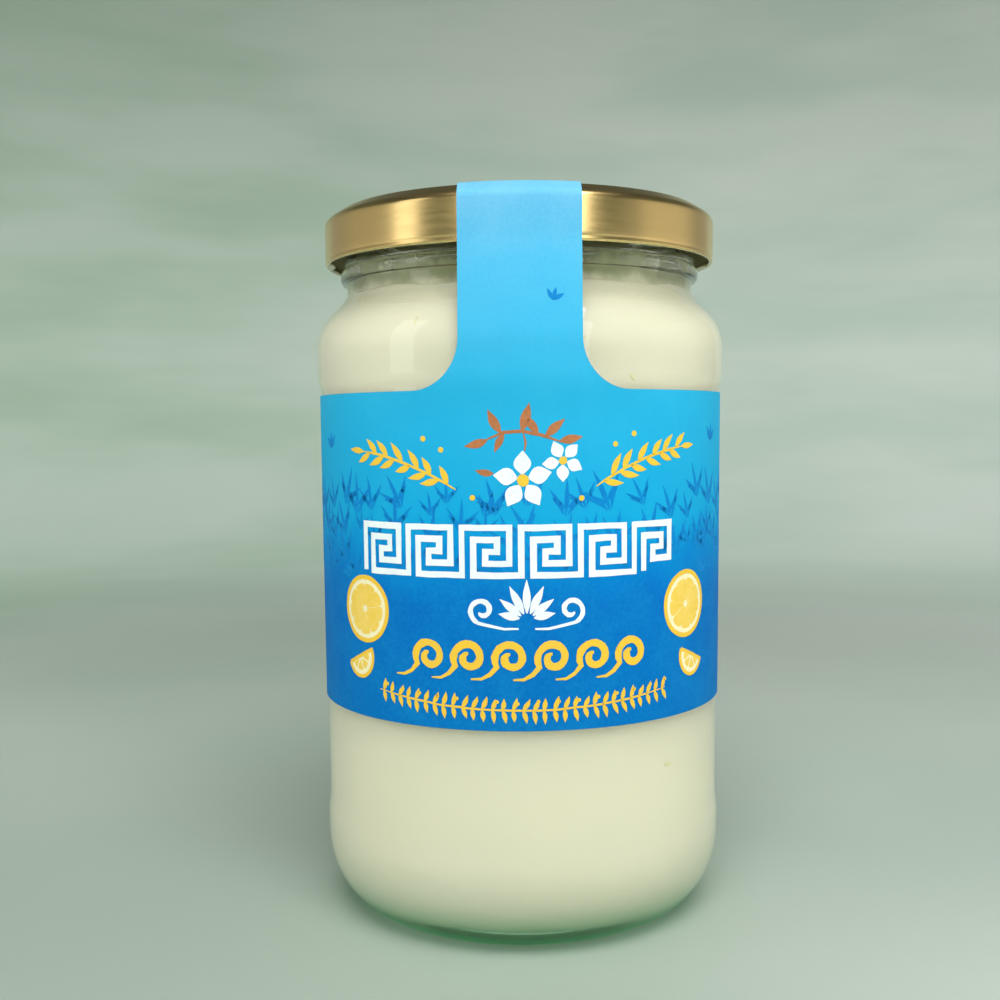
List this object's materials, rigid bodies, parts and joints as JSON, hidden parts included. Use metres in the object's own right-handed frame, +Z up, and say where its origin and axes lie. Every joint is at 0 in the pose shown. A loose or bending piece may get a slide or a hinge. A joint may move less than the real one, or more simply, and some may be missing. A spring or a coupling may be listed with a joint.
{
  "type": "jar of yogurt",
  "caption": "Shut clear glass jar of pale lemon yoghurt with a gold twist-off lid and a blue paper label whose strip seals the lid.",
  "frame": {"origin": "under the middle of the jar's base, on the surface that it stands on", "axes": "+Z up along the jar's axis, -Y the front, where the label's strip goes up over the lid, +X to the right of the front"},
  "size_m": [0.0894, 0.0898, 0.1525],
  "materials": {
    "clear_glass": "clear, smooth, slightly green where it is thick",
    "yogurt": "pale lemon cream, smooth set yoghurt",
    "gold_lacquer": "satin gold lacquer on tinplate",
    "label_paper": "matt printed paper, sky blue above and deeper blue below"
  },
  "bodies": {
    "root": {"glass_jar": "clear_glass", "yogurt": "yogurt", "lid": "gold_lacquer", "label": "label_paper"}
  },
  "joints": []
}
